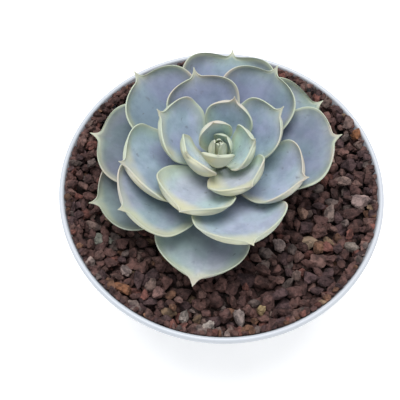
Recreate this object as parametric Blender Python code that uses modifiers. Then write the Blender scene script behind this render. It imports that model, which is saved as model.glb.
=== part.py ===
"""Potted echeveria: a blue-grey rosette in a round white pot topped with dark lava grit.

Units are metres and +Z is up. The origin is the middle of the pot's foot, on the surface
that the pot stands on. The pot's front is at -Y.
"""
import math
import random

import bmesh
import bpy
from mathutils import Vector
from mathutils.bvhtree import BVHTree

MM = 0.001
GAP = 0.3 * MM                      # clearance between pieces that touch on the real plant

# Pot: a thin tapered bowl with a rounded lip, a foot ring and drain holes
POT_HEIGHT = 72 * MM
POT_LIP_RADIUS = 60 * MM            # outside of the lip
POT_FOOT_RADIUS = 38 * MM
POT_WALL = 1.6 * MM
LIP_DEPTH = 2.2 * MM                # height of the lip's outer band
LIP_STEP = 0.3 * MM                 # how far the lip's band stands out from the wall
FOOT_HEIGHT = 2.5 * MM
FOOT_RING_WIDTH = 4 * MM
FLOOR_THICKNESS = 2.5 * MM
DRAIN_RADIUS = 4 * MM
DRAIN_CIRCLE = 20 * MM
DRAIN_COUNT = 5
DRAIN_SIDES = 16
POT_STEPS = 48
POT_BELLY = 2.0 * MM                # how far the wall bulges past a straight taper
FOOT_STEP = 0.8 * MM                # hollow between the wall and the foot ring
FOOT_DRAFT = 0.4 * MM
FLOOR_CORNER = 1.2 * MM             # height of the chamfer between floor and wall
WALL_LEVELS = [52 * MM, 40 * MM, 28 * MM, 16 * MM, 7 * MM]
CAVITY_LEVELS = [10 * MM, 16 * MM, 28 * MM, 40 * MM, 52 * MM, 64 * MM]

# Fill: potting soil with a layer of lava grit over it
SOIL_LEVELS = [48 * MM, 36 * MM, 24 * MM, 12 * MM]
SOIL_SHRINK = 0.1 * MM              # extra clearance where the soil's flats cross the wall's curve
GRIT_BELOW_RIM = 3.2 * MM           # mean level of the grit's top under the rim
GRIT_DEPTH = 12 * MM
STONE_PITCH = 7.4 * MM              # across the stones of the relief
STONE_RISE = 1.7 * MM
STONE_INSET = 0.75 * MM             # half the gap between two stones
STONE_JITTER = 0.2                  # shift of a stone's centre, as a share of the pitch
STONE_TILT = 0.22                   # greatest slope of a stone's top
BED_SLACK = 2.5 * MM                # how far the bed's lowest edge may lie under its mean level
STEM_HOLE_RADIUS = 4.6 * MM
SLIVER = 0.1 * MM                   # points of the bed's top that lie closer than this are joined
STONE_SEED = 7
BED_DIP = 4.0 * MM                  # how far the bed sinks round the stem
BED_DIP_RADIUS = 24 * MM
FILL_STEPS = 48
ROW_SHARE = math.sqrt(3) / 2        # height of a honeycomb's row over its pitch

# Stem
STEM_RADIUS = 4 * MM
STEM_STEPS = 20
STEM_TOP_ABOVE_RIM = 13 * MM
STEM_BELOW_GRIT = 18 * MM           # how far the stem and its root end reach into the soil
STEM_LEAN = (-1.8 * MM, 1.7 * MM)   # the rosette's axis, off the pot's axis

# Rosette: leaves numbered along the spiral, the lowest and oldest first
GOLDEN_ANGLE = math.radians(137.508)
FIRST_AZIMUTH = math.radians(258.5)  # of leaf 0, seen from above, from +X
LEAF_NUMBERS = [-3, 0, 1, 2] + list(range(4, 20))
HEART_NUMBERS = list(range(20, 28))
WIDEST_SHARE = 0.68                 # where along its length a blade is widest
ROOT_BREADTH = 0.30                 # root's width over the blade's greatest width
ROOT_SHARES = [0.0, 0.17, 0.34, 0.51, WIDEST_SHARE]
END_TURNS = [18, 36, 54, 70, 82]    # degrees round the blunt end, from the widest place on
FACE_COLUMNS = 6
BACK_COLUMNS = 4
EDGE_THICKNESS = 0.7 * MM
LEAF_GAP = 0.45 * MM                # clearance that an older leaf is bent to under a younger one
PRESS_DEPTH = 7 * MM                # how deep a younger leaf is looked for under an older face
PRESS_PASSES = 4
SPIKE_LENGTH = 2.8 * MM

# How single leaves stray from the rule: turn, roll and bend in degrees, reach, lift and width in
# millimetres, and dish as a factor on how much the blade is hollowed
STRAY = {
    -3: dict(turn=-5, roll=-18, lift=-1.5, width=-4, dish=1.4, thick=-1.3),
    0: dict(turn=2, dish=0.75),
    1: dict(turn=-2, lift=-2, width=2, bend=-20, dish=1.3, thick=-0.5),
    2: dict(turn=-3, lift=-1, width=1, bend=-20, dish=0.5),
    4: dict(turn=-5, lift=-2.5, width=3, bend=-35, dish=1.5),
    5: dict(turn=-7, reach=-1, lift=1, roll=-12, dish=0.6),
    6: dict(lift=2, width=1, dish=0.4),
    7: dict(turn=-2, lift=2),
    8: dict(turn=7, reach=2, lift=1, width=1.5),
    10: dict(turn=4, width=2, bend=15),
    11: dict(turn=3, lift=-1.5, width=-2, roll=5, bend=15, dish=1.2),
    12: dict(reach=-1.5),
    13: dict(reach=2.5, lift=-1, width=2, dish=1.2),
    14: dict(turn=3, reach=-1.5, lift=1, width=-2),
    15: dict(turn=-3, lift=1, width=1.5, roll=5),
    16: dict(reach=2, roll=10, dish=1.2),
    17: dict(turn=-6, reach=-1.5, lift=1.5, width=-3, bend=20),
    19: dict(reach=2, roll=15, dish=1.3),
}
HEART_CORE_RADIUS = 3.9 * MM
HEART_CORE_HEIGHT = 9 * MM

COLLECTION = "potted_echeveria"
HEART_BUILD = "heart_build"
CUTTERS = "cutters"


def clear_scene():
    for item in list(bpy.data.objects):
        bpy.data.objects.remove(item, do_unlink=True)


def collection(name):
    group = bpy.data.collections.get(name)
    if group is None:
        group = bpy.data.collections.new(name)
        bpy.context.scene.collection.children.link(group)
    return group


def material(name, colour, roughness, metallic=0.0):
    made = bpy.data.materials.new(name)
    made.use_nodes = True
    shader = made.node_tree.nodes["Principled BSDF"]
    shader.inputs["Base Color"].default_value = (*colour, 1.0)
    shader.inputs["Roughness"].default_value = roughness
    shader.inputs["Metallic"].default_value = metallic
    return made


def add_object(name, mesh, group, finish=None):
    made = bpy.data.objects.new(name, mesh)
    collection(group).objects.link(made)
    if finish is not None:
        mesh.materials.append(finish)
    return made


def mesh_from(name, shape):
    bmesh.ops.recalc_face_normals(shape, faces=shape.faces)
    mesh = bpy.data.meshes.new(name)
    shape.to_mesh(mesh)
    shape.free()
    return mesh


def turned(name, profile, steps, group, finish=None):
    """A closed (radius, height) outline turned about Z; the outline runs down its outer side."""
    shape = bmesh.new()
    corners = [shape.verts.new((radius, 0.0, height)) for radius, height in profile]
    for first, second in zip(corners, corners[1:]):
        shape.edges.new((first, second))
    if profile[0][0] > 0.0:
        shape.edges.new((corners[-1], corners[0]))
    mesh = bpy.data.meshes.new(name)
    shape.to_mesh(mesh)
    shape.free()
    made = add_object(name, mesh, group, finish)
    screw = made.modifiers.new("turn", "SCREW")
    screw.axis = "Z"
    screw.angle = math.tau
    screw.steps = steps
    screw.render_steps = steps
    screw.use_merge_vertices = True
    screw.merge_threshold = 0.01 * MM
    screw.use_smooth_shade = True
    return made


def cut(target, cutter, operation="DIFFERENCE", solver="EXACT"):
    cutter.hide_render = True
    cutter.display_type = "WIRE"
    step = target.modifiers.new("cut", "BOOLEAN")
    step.operation = operation
    step.object = cutter
    step.solver = solver


def cylinder_cutter(name, radius, low, high, centre=(0.0, 0.0), sides=24):
    shape = bmesh.new()
    bmesh.ops.create_cone(shape, cap_ends=True, segments=sides, radius1=radius, radius2=radius,
                          depth=high - low)
    made = add_object(name, mesh_from(name, shape), CUTTERS)
    made.location = (centre[0], centre[1], (high + low) / 2)
    return made


def wall_radius(height):
    """Outer radius of the pot's plain wall at a height."""
    share = (height - FOOT_HEIGHT) / (POT_HEIGHT - FOOT_HEIGHT)
    straight = POT_FOOT_RADIUS + share * (POT_LIP_RADIUS - LIP_STEP - POT_FOOT_RADIUS)
    belly = POT_BELLY * math.sin(math.pi * max(share, 0.0))
    return straight + belly


def inner_radius(height):
    return wall_radius(height) - POT_WALL


def pot_profile():
    lip_round = (POT_WALL + LIP_STEP) / 2
    lip_centre = POT_LIP_RADIUS - lip_round
    outline = []
    for turn in range(0, 5):
        angle = math.radians(90 - turn * 22.5)
        outline.append((lip_centre + lip_round * math.cos(angle),
                        POT_HEIGHT - lip_round + lip_round * math.sin(angle)))
    outline.append((POT_LIP_RADIUS, POT_HEIGHT - LIP_DEPTH))
    under_lip = POT_HEIGHT - LIP_DEPTH - LIP_STEP
    for level in [under_lip] + WALL_LEVELS:
        outline.append((wall_radius(level), level))
    outline.append((wall_radius(FOOT_HEIGHT) - FOOT_STEP, FOOT_HEIGHT + FOOT_DRAFT))
    outline.append((POT_FOOT_RADIUS, FOOT_HEIGHT))
    outline.append((POT_FOOT_RADIUS - FOOT_DRAFT, 0.0))
    outline.append((POT_FOOT_RADIUS - FOOT_RING_WIDTH, 0.0))
    outline.append((POT_FOOT_RADIUS - FOOT_RING_WIDTH - FOOT_DRAFT, FOOT_HEIGHT))
    outline.append((0.0, FOOT_HEIGHT))
    floor = FOOT_HEIGHT + FLOOR_THICKNESS
    corner = floor + FLOOR_CORNER
    outline.append((0.0, floor))
    outline.append((inner_radius(corner) - 3 * FLOOR_CORNER, floor))
    outline.append((inner_radius(corner) - FLOOR_CORNER, corner))
    for level in CAVITY_LEVELS:
        outline.append((inner_radius(level), level))
    outline.append((inner_radius(POT_HEIGHT - LIP_DEPTH), POT_HEIGHT - LIP_DEPTH))
    outline.append((POT_LIP_RADIUS - 2 * lip_round, POT_HEIGHT - lip_round))
    outline.append((lip_centre - lip_round * math.cos(math.radians(45)),
                    POT_HEIGHT - lip_round + lip_round * math.sin(math.radians(45))))
    return outline


def make_pot():
    profile = pot_profile()
    # The outline is open on the axis at the floor, so it is turned as a ring path and closed there.
    axis = [index for index, (radius, _) in enumerate(profile) if radius == 0.0]
    ordered = profile[axis[1]:] + profile[:axis[0] + 1]
    finish = material("pot_white", (0.80, 0.79, 0.83), 0.35)
    pot = turned("pot", ordered, POT_STEPS, COLLECTION, finish)
    for index in range(DRAIN_COUNT):
        angle = math.tau * index / DRAIN_COUNT
        place = (DRAIN_CIRCLE * math.cos(angle), DRAIN_CIRCLE * math.sin(angle))
        top = FOOT_HEIGHT + 2 * FLOOR_THICKNESS
        cut(pot, cylinder_cutter(f"drain_{index + 1}", DRAIN_RADIUS, -MM, top, place, DRAIN_SIDES))
    return pot


def make_soil():
    top = POT_HEIGHT - GRIT_BELOW_RIM - GRIT_DEPTH - GAP
    floor = FOOT_HEIGHT + FLOOR_THICKNESS + GAP
    outline = [(0.0, top), (inner_radius(top) - GAP, top)]
    for level in SOIL_LEVELS:
        outline.append((inner_radius(level) - GAP - SOIL_SHRINK, level))
    corner = floor + 1.5 * FLOOR_CORNER
    outline.append((inner_radius(corner) - 1.5 * FLOOR_CORNER, corner))
    outline.append((inner_radius(corner) - 4 * FLOOR_CORNER, floor))
    outline.append((0.0, floor))
    soil = turned("potting_soil", outline, FILL_STEPS, COLLECTION,
                  material("potting_soil", (0.055, 0.035, 0.025), 0.95))
    stem_foot = POT_HEIGHT - GRIT_BELOW_RIM - STEM_BELOW_GRIT
    cut(soil, cylinder_cutter("stem_hole_in_soil", STEM_RADIUS + GAP, stem_foot - GAP,
                              POT_HEIGHT, STEM_LEAN))
    return soil


def stone_centres(draw, rows, columns):
    """Jittered honeycomb of stone centres round the stem, keyed by row and column."""
    centres = {}
    for row in range(-rows, rows + 1):
        for column in range(-columns, columns + 1):
            shift_x = draw.uniform(-STONE_JITTER, STONE_JITTER) + 0.5 * (row % 2)
            shift_y = draw.uniform(-STONE_JITTER, STONE_JITTER)
            if row == 0 and column == 0:
                shift_x = shift_y = 0.0
            centres[row, column] = Vector((STEM_LEAN[0] + (column + shift_x) * STONE_PITCH,
                                           STEM_LEAN[1] + (row * ROW_SHARE + shift_y) * STONE_PITCH,
                                           POT_HEIGHT - GRIT_BELOW_RIM))
    return centres


def honeycomb(bed, draw):
    """Flat six-sided faces, one a stone, with a round hole for the stem in place of the middle one."""
    reach = (POT_LIP_RADIUS + 2 * STONE_PITCH) / STONE_PITCH
    rows = int(reach / ROW_SHARE) + 1
    columns = int(reach) + 1
    centres = stone_centres(draw, rows, columns)
    axis = centres[0, 0]
    corners = {}

    def corner(*keys):
        """The corner shared by three neighbouring stones is the middle of their centres."""
        key = tuple(sorted(keys))
        if key not in corners:
            middle = (centres[key[0]] + centres[key[1]] + centres[key[2]]) / 3
            if (0, 0) in key:
                middle = axis + (middle - axis).normalized() * STEM_HOLE_RADIUS
            middle.z -= STONE_RISE / 2
            corners[key] = bed.verts.new(middle)
        return corners[key]

    stones = []
    for row in range(-rows + 1, rows):
        for column in range(-columns + 1, columns):
            side = row % 2
            ring = [(row, column + 1), (row + 1, column + side), (row + 1, column - 1 + side),
                    (row, column - 1), (row - 1, column - 1 + side), (row - 1, column + side)]
            stone = bed.faces.new([corner((row, column), ring[turn], ring[(turn + 1) % 6])
                                   for turn in range(6)])
            if row == 0 and column == 0:
                hole = stone
            else:
                stones.append(stone)
    split = bmesh.ops.subdivide_edges(bed, edges=hole.edges[:], cuts=1)
    for item in split["geom_inner"]:
        if isinstance(item, bmesh.types.BMVert):
            away = Vector((item.co.x - axis.x, item.co.y - axis.y, 0.0)).normalized()
            item.co.x = axis.x + away.x * STEM_HOLE_RADIUS
            item.co.y = axis.y + away.y * STEM_HOLE_RADIUS
    holes = [face for face in bed.faces if (face.calc_center_median() - axis).xy.length < MM]
    bmesh.ops.delete(bed, geom=holes, context="FACES_ONLY")
    return stones


def trim_bed(bed, radius):
    """Cut the open top to a polygon in line with the flats of the pot's wall."""
    for step in range(FILL_STEPS):
        turn = math.tau * (step + 0.5) / FILL_STEPS
        outward = Vector((math.cos(turn), math.sin(turn), 0.0))
        flat = outward * radius * math.cos(math.pi / FILL_STEPS)
        bmesh.ops.bisect_plane(bed, geom=bed.verts[:] + bed.edges[:] + bed.faces[:],
                               plane_co=flat, plane_no=outward, clear_outer=True)
    bmesh.ops.remove_doubles(bed, verts=bed.verts[:], dist=SLIVER)


def make_grit():
    """Lava grit: a slab whose top is a honeycomb of raised, tilted stones."""
    draw = random.Random(STONE_SEED)
    bed = bmesh.new()
    stones = honeycomb(bed, draw)
    bmesh.ops.inset_individual(bed, faces=stones, thickness=STONE_INSET, depth=0.0)
    for face in stones:
        tilt_x = draw.uniform(-STONE_TILT, STONE_TILT)
        tilt_y = draw.uniform(-STONE_TILT, STONE_TILT)
        rise = STONE_RISE * draw.uniform(0.55, 1.15)
        middle = face.calc_center_median()
        for vert in face.verts:
            vert.co.z += rise + (vert.co.x - middle.x) * tilt_x + (vert.co.y - middle.y) * tilt_y
    for vert in bed.verts:
        away = math.hypot(vert.co.x - STEM_LEAN[0], vert.co.y - STEM_LEAN[1])
        vert.co.z -= BED_DIP * math.exp(-(away / BED_DIP_RADIUS) ** 2)
    bmesh.ops.triangulate(bed, faces=bed.faces[:])
    edge = inner_radius(POT_HEIGHT - GRIT_BELOW_RIM - BED_SLACK) - GAP
    trim_bed(bed, edge)
    low = POT_HEIGHT - GRIT_BELOW_RIM - GRIT_DEPTH
    taper = (inner_radius(low) - GAP) / edge
    rims = [side for side in bed.edges if side.is_boundary]
    skirt = bmesh.ops.extrude_edge_only(bed, edges=rims)
    for item in skirt["geom"]:
        if isinstance(item, bmesh.types.BMVert):
            item.co.z = low
            if item.co.xy.length > edge / 2:
                item.co.x *= taper
                item.co.y *= taper
    rims = [side for side in bed.edges if side.is_boundary]
    bmesh.ops.triangle_fill(bed, use_beauty=True, edges=rims)
    return add_object("lava_grit", mesh_from("lava_grit", bed), COLLECTION,
                      material("lava_grit", (0.085, 0.045, 0.04), 0.95))


def make_stem():
    low = POT_HEIGHT - GRIT_BELOW_RIM - STEM_BELOW_GRIT
    high = POT_HEIGHT + STEM_TOP_ABOVE_RIM
    outline = [(0.0, high), (0.62 * STEM_RADIUS, high), (0.92 * STEM_RADIUS, high - 5 * MM),
               (STEM_RADIUS, high - 12 * MM), (0.95 * STEM_RADIUS, low + MM),
               (0.7 * STEM_RADIUS, low), (0.0, low)]
    stem = turned("stem", outline, STEM_STEPS, COLLECTION,
                  material("stem", (0.30, 0.27, 0.17), 0.7))
    stem.location = (*STEM_LEAN, 0.0)
    return stem


def leaf_rule(number):
    """Shape and place of one leaf, worked out from its number along the spiral, in metres."""
    age = number / 20
    stray = STRAY.get(number, {})
    rim = POT_HEIGHT
    if number < 20:
        reach = 44 - 8 * age - 30 * age ** 2
        lift = 29.5 - 17.5 * math.exp(-max(number, 0) / 5)
        width = 34 - 19 * max(age, 0.0) ** 2.2
        root_height = 5 + 0.48 * max(number, 0)
        root_radius = 4.6 - 1.2 * age
        bend = 25
        thick = 3.8 - 1.0 * max(age, 0.0)
    else:
        inner = number - 20
        reach = 6.2 - 0.85 * inner
        lift = 30.0 - 1.1 * inner
        width = 14.5 * 0.82 ** inner
        root_height = 14.0 + 0.45 * inner
        root_radius = 3.2 - 0.4 * inner
        bend = 20
        thick = 2.6 * 0.88 ** inner
    return dict(
        azimuth=FIRST_AZIMUTH + number * GOLDEN_ANGLE + math.radians(stray.get("turn", 0)),
        reach=(reach + stray.get("reach", 0)) * MM,
        lift=rim + (lift + stray.get("lift", 0)) * MM,
        width=(width + stray.get("width", 0)) * MM,
        root_height=rim + root_height * MM,
        root_radius=root_radius * MM,
        bend=math.radians(bend + stray.get("bend", 0)),
        dish=stray.get("dish", 1.0),
        roll=math.radians(stray.get("roll", 0)),
        thick=(thick + stray.get("thick", 0)) * MM,
        spike=SPIKE_LENGTH * min(1.0, 0.3 + width / 36),
    )


def stations():
    """Pairs of share of the length and share of the half width, from the root to the end."""
    places = []
    for share in ROOT_SHARES:
        swell = math.sin(math.pi / 2 * share / WIDEST_SHARE) ** 1.3
        places.append((share, ROOT_BREADTH + (1 - ROOT_BREADTH) * swell))
    for degrees in END_TURNS:
        turn = math.radians(degrees)
        places.append((WIDEST_SHARE + (1 - WIDEST_SHARE) * math.sin(turn) ** 0.8, math.cos(turn)))
    return places


def fullness(share):
    """Thickness along the blade over its greatest thickness."""
    return 0.35 + 0.65 * math.sin(math.pi * share ** 0.9) ** 0.9


class Midrib:
    """The blade's middle line, an arc in the upright plane through the rosette's axis."""

    steps = 40

    def __init__(self, rule):
        rise = rule["lift"] - rule["root_height"]
        run = rule["reach"] - rule["root_radius"]
        chord = math.hypot(rise, run)
        slope = math.atan2(rise, run)
        bend = rule["bend"]
        length = chord * (bend / 2) / math.sin(bend / 2) if bend else chord
        self.places = []
        radius, height = rule["root_radius"], rule["root_height"]
        for step in range(self.steps + 1):
            angle = slope + bend * (step / self.steps - 0.5)
            self.places.append((radius, height, angle))
            angle += bend * 0.5 / self.steps
            radius += math.cos(angle) * length / self.steps
            height += math.sin(angle) * length / self.steps

    def at(self, share):
        place = min(max(share, 0.0), 1.0) * self.steps
        low = min(int(place), self.steps - 1)
        part = place - low
        return tuple(a + (b - a) * part for a, b in zip(self.places[low], self.places[low + 1]))


def blade_point(rule, midrib, station, across, under, drop=0.0):
    """A point of the leaf; across runs from -1 to 1, and under is 0 on the face and 1 on the back."""
    share, breadth = station
    radius, height, angle = midrib.at(share)
    half = rule["width"] / 2 * breadth
    side = half * across * (1 - 0.07 * across ** 4)
    dish = half * rule["dish"] * (0.17 * across ** 2 + 0.17 * across ** 4)
    flesh = rule["thick"] * fullness(share) * min(1.0, half / (4 * MM))
    depth = EDGE_THICKNESS + max(0.0, flesh - EDGE_THICKNESS) * (1 - across ** 2) ** 0.8
    roll = rule["roll"] * share
    normal = dish - depth * under
    side, normal = (side * math.cos(roll) - normal * math.sin(roll),
                    side * math.sin(roll) + normal * math.cos(roll))
    normal -= drop
    return place_in_rosette(rule, radius - math.sin(angle) * normal, height + math.cos(angle) * normal,
                            side)


def place_in_rosette(rule, radius, height, side):
    turn = rule["azimuth"]
    return Vector((STEM_LEAN[0] + radius * math.cos(turn) - side * math.sin(turn),
                   STEM_LEAN[1] + radius * math.sin(turn) + side * math.cos(turn),
                   height))


def spike_ring(rule, midrib, share, drop, count):
    """A ring round the spike that ends the blade."""
    radius, height, angle = midrib.at(1.0)
    along = rule["spike"] * share
    radius += along * math.cos(angle)
    height += along * math.sin(angle)
    thick = EDGE_THICKNESS * (0.55 - 0.15 * share)
    broad = thick + 0.5 * MM * (1 - share) ** 2
    ring = []
    for step in range(count):
        turn = math.pi - math.tau * step / count
        normal = thick * math.sin(turn) - EDGE_THICKNESS * 0.4 - drop
        side = broad * math.cos(turn)
        ring.append(place_in_rosette(rule, radius - math.sin(angle) * normal,
                                     height + math.cos(angle) * normal, side))
    return ring


class Blade:
    """One leaf as a loft of lens-shaped sections, which can be pressed clear of younger leaves."""

    def __init__(self, number):
        self.rule = leaf_rule(number)
        self.midrib = Midrib(self.rule)
        self.stations = stations()
        self.drops = [[0.0] * (FACE_COLUMNS + 1) for _ in self.stations]

    def drop_at(self, index, across):
        place = (across + 1) / 2 * FACE_COLUMNS
        low = min(int(place), FACE_COLUMNS - 1)
        row = self.drops[index]
        return row[low] + (row[low + 1] - row[low]) * (place - low)

    def point(self, index, across, under):
        return blade_point(self.rule, self.midrib, self.stations[index], across, under,
                           self.drop_at(index, across))

    def upward(self, index):
        """Direction from the back to the face at a station."""
        angle = self.midrib.at(self.stations[index][0])[2]
        turn = self.rule["azimuth"]
        return Vector((-math.sin(angle) * math.cos(turn), -math.sin(angle) * math.sin(turn),
                       math.cos(angle)))

    def rings(self):
        rings = []
        for index in range(len(self.stations)):
            ring = []
            for column in range(FACE_COLUMNS + 1):
                ring.append(self.point(index, 2 * column / FACE_COLUMNS - 1, 0))
            for column in range(BACK_COLUMNS, -1, -1):
                ring.append(self.point(index, 2 * column / BACK_COLUMNS - 1, 1))
            rings.append(ring)
        count = FACE_COLUMNS + BACK_COLUMNS + 2
        drop = self.drop_at(len(self.stations) - 1, 0.0)
        for share in (0.25, 1.0):
            rings.append(spike_ring(self.rule, self.midrib, share, drop, count))
        return rings

    def shape(self):
        shape = bmesh.new()
        rings = [[shape.verts.new(place) for place in ring] for ring in self.rings()]
        count = len(rings[0])
        for first, second in zip(rings, rings[1:]):
            for index in range(count):
                after = (index + 1) % count
                shape.faces.new((first[index], first[after], second[after], second[index]))
        shape.faces.new(rings[0])
        shape.faces.new(rings[-1])
        bmesh.ops.triangulate(shape, faces=shape.faces[:])
        bmesh.ops.recalc_face_normals(shape, faces=shape.faces)
        return shape

    def press_under(self, younger):
        """Bend this leaf down until its face clears the backs of the younger leaves over it."""
        samples = [step / 4 for step in range(5)]
        for _ in range(PRESS_PASSES):
            needed = [[0.0] * (FACE_COLUMNS + 1) for _ in self.stations]
            for index in range(len(self.stations) - 1):
                up = self.upward(index)
                for column in range(FACE_COLUMNS):
                    edges = [2 * (column + step) / FACE_COLUMNS - 1 for step in (0, 1)]
                    near = [self.point(index, across, 0) for across in edges]
                    far = [self.point(index + 1, across, 0) for across in edges]
                    past_edges = ([-0.15] if column == 0 else []) + samples
                    past_edges += [1.15] if column == FACE_COLUMNS - 1 else []
                    worst = 0.0
                    for along in ([-0.15] if index == 0 else []) + samples:
                        left = near[0].lerp(far[0], along)
                        right = near[1].lerp(far[1], along)
                        for across in past_edges:
                            start = left.lerp(right, across) - up * PRESS_DEPTH
                            for tree in younger:
                                hit = tree.ray_cast(start, up, PRESS_DEPTH + LEAF_GAP)
                                if hit[0] is not None:
                                    worst = max(worst, PRESS_DEPTH + LEAF_GAP - hit[3])
                    for row in (index, index + 1):
                        for place in (column, column + 1):
                            needed[row][place] = max(needed[row][place], worst)
            if max(max(row) for row in needed) < 0.01 * MM:
                break
            for row, more in zip(self.drops, needed):
                for place, value in enumerate(more):
                    row[place] += value
            self.soften()

    def soften(self):
        """Spread each drop into its neighbours, so that a pressed leaf bends and doesn't kink."""
        rows = len(self.drops)
        for _ in range(2):
            before = [list(row) for row in self.drops]
            for index in range(rows):
                for place in range(FACE_COLUMNS + 1):
                    around = [before[max(index - 1, 0)][place], before[min(index + 1, rows - 1)][place],
                              before[index][max(place - 1, 0)],
                              before[index][min(place + 1, FACE_COLUMNS)]]
                    self.drops[index][place] = max(before[index][place], sum(around) / 4)


def make_heart():
    """The bud: the youngest leaves, grown together round a small core."""
    finish = material("leaf_green", (0.45, 0.52, 0.40), 0.5)
    collection(HEART_BUILD)
    for number in HEART_NUMBERS:
        add_object(f"heart_leaf_{number}", mesh_from("heart_leaf", Blade(number).shape()), HEART_BUILD)
    low = POT_HEIGHT + STEM_TOP_ABOVE_RIM + GAP
    core = bmesh.new()
    bmesh.ops.create_cone(core, cap_ends=True, segments=16, radius1=HEART_CORE_RADIUS,
                          radius2=0.35 * HEART_CORE_RADIUS, depth=HEART_CORE_HEIGHT)
    bmesh.ops.translate(core, verts=core.verts,
                        vec=(*STEM_LEAN, low + HEART_CORE_HEIGHT / 2))
    heart = add_object("heart", mesh_from("heart", core), COLLECTION, finish)
    join = heart.modifiers.new("join", "BOOLEAN")
    join.operation = "UNION"
    join.operand_type = "COLLECTION"
    join.collection = collection(HEART_BUILD)
    join.solver = "MANIFOLD"
    graph = bpy.context.evaluated_depsgraph_get()
    joined = bpy.data.meshes.new_from_object(heart.evaluated_get(graph))
    heart.modifiers.remove(join)
    heart.data = joined
    for item in list(collection(HEART_BUILD).objects):
        bpy.data.objects.remove(item, do_unlink=True)
    return heart


def tree_of(shape):
    shape.faces.ensure_lookup_table()
    return BVHTree.FromBMesh(shape)


def make_leaves(heart):
    """The separate leaves, youngest first, each bent clear of those already placed."""
    finish = material("leaf_blue", (0.30, 0.38, 0.46), 0.55)
    bud = bmesh.new()
    bud.from_mesh(heart.data)
    placed = [tree_of(bud)]
    bud.free()
    for number in sorted(LEAF_NUMBERS, reverse=True):
        leaf = Blade(number)
        leaf.press_under(placed)
        shape = leaf.shape()
        placed.append(tree_of(shape))
        name = f"leaf_{LEAF_NUMBERS.index(number) + 1:02d}"
        add_object(name, mesh_from(name, shape), COLLECTION, finish)


def main():
    clear_scene()
    make_pot()
    make_soil()
    make_grit()
    make_stem()
    make_leaves(make_heart())


main()
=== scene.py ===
"""Looks of the potted echeveria: waxy leaves with pale rims, a bed of loose lava stones, the pot.

Lengths are in millimetres until a mesh is made, except in the studio. Heights count from the
surface that the pot stands on, and the pot's front is at -Y.
"""
import math
import random

import bmesh
import bpy
import numpy as np
from mathutils import Matrix, Vector, noise
from mathutils.bvhtree import BVHTree


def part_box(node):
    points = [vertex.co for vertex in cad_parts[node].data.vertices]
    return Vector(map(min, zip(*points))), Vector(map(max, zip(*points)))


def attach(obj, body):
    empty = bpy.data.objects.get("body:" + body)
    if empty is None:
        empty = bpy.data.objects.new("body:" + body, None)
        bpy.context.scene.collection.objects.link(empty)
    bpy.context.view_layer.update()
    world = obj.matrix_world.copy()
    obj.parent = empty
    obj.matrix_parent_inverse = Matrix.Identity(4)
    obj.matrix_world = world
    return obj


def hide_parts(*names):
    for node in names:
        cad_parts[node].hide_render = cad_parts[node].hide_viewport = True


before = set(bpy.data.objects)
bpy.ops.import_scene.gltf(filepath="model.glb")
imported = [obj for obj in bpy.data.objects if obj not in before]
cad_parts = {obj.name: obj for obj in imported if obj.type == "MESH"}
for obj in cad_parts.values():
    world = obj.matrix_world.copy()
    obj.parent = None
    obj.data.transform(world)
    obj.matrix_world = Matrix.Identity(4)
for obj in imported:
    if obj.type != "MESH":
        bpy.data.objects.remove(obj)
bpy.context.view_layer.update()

MM = 0.001

# Camera, from the pot's rim
FOCAL_LENGTH = 63.0                 # on a 36 mm sensor
VIEW_ELEVATION = math.radians(63.49)
VIEW_ROLL = math.radians(1.24)
VIEW_DISTANCE = 258.9
VIEW_OFFSET = (-8.0, -6.5)          # across and up, in the picture's plane

# Studio, in metres and watts
SKY_STRENGTH = 0.55
LAMP_PLACE = (-0.06, 0.14, 1.07)
LAMP_TARGET = (0.0, 0.0, 0.08)
LAMP_SIZE = 0.7
LAMP_POWER = 9.0
FLOOR_REACH = 3.0
FLOOR_DROP = 0.0002                 # so that it doesn't flicker against the foot ring

# Pot, as in the frame
POT_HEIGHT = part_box("pot")[1].z / MM
POT_LIP_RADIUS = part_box("pot")[1].x / MM
POT_FOOT_RADIUS = 38.0
POT_WALL = 1.6
LIP_DEPTH = 2.2
LIP_STEP = 0.3
FOOT_HEIGHT = 2.5
FOOT_RING_WIDTH = 4.0
FOOT_STEP = 0.8
FOOT_DRAFT = 0.4
FLOOR_THICKNESS = 2.5
FLOOR_CORNER = 1.2
POT_BELLY = 2.0
POT_STEPS = 192
DRAIN_RADIUS = 4.0
DRAIN_CIRCLE = 20.0
DRAIN_COUNT = 5
DRAIN_SIDES = 40
CUTTER_LEVEL = 3.0                  # middle of the cylinders that cut the drain holes
CUTTER_DEPTH = 12.0

# Stone bed
BED_LEVEL = POT_HEIGHT - 1.6        # level of the highest stones
BED_FLOOR = POT_HEIGHT - 8.0        # bed under the loose stones, painted very dark as shade
BED_DIP = 4.0                       # how far the stones lie lower round the stem
BED_DIP_RADIUS = 24.0
OVER_LEVEL = 0.7                    # how far the top of a stone may stand over the level
GAP = 0.3
STONE_SEED = 11
STONE_RADIUS = 1.75
STONE_SPREAD = 0.27                 # spread of the logarithm of their sizes
STONE_LIMITS = (0.55, 1.7)          # smallest and largest, as factors on the radius
STONE_TRIES = 26                    # places tried for each stone, of which the lowest is taken
MOST_STONES = 1700
MOST_MISSES = 260
PACKING = 0.94                      # how close stones lie, as a share of balls that touch
WALL_ROUNDS = ((5.0, 1.0), (2.4, 0.95), (1.3, 0.65))  # depth under the lip, size of stones
ROUND_END = 0.04                    # angle at which a round of stones counts as closed
LEAN_SHARE = 0.8                    # its stones' middles from the wall, in radii
CLEAR_SHARE = 0.9                   # other stones' middles from the wall at least, in radii
FLOOR_SHARE = 0.4                   # the lowest stones' middles over the bed, in radii
TOP_SHARE = 0.85                    # a stone's top over its middle, in radii
LEAF_SHARE = 1.3                    # its middle from a leaf at least, in radii
LEAF_MISS = 0.2                     # share of a miss that a place too near a leaf counts
WALL_GAP = 0.1
STONE_GROWTH = (1.02, 1.12)         # least and most that a stone grows after it has come to rest
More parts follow.
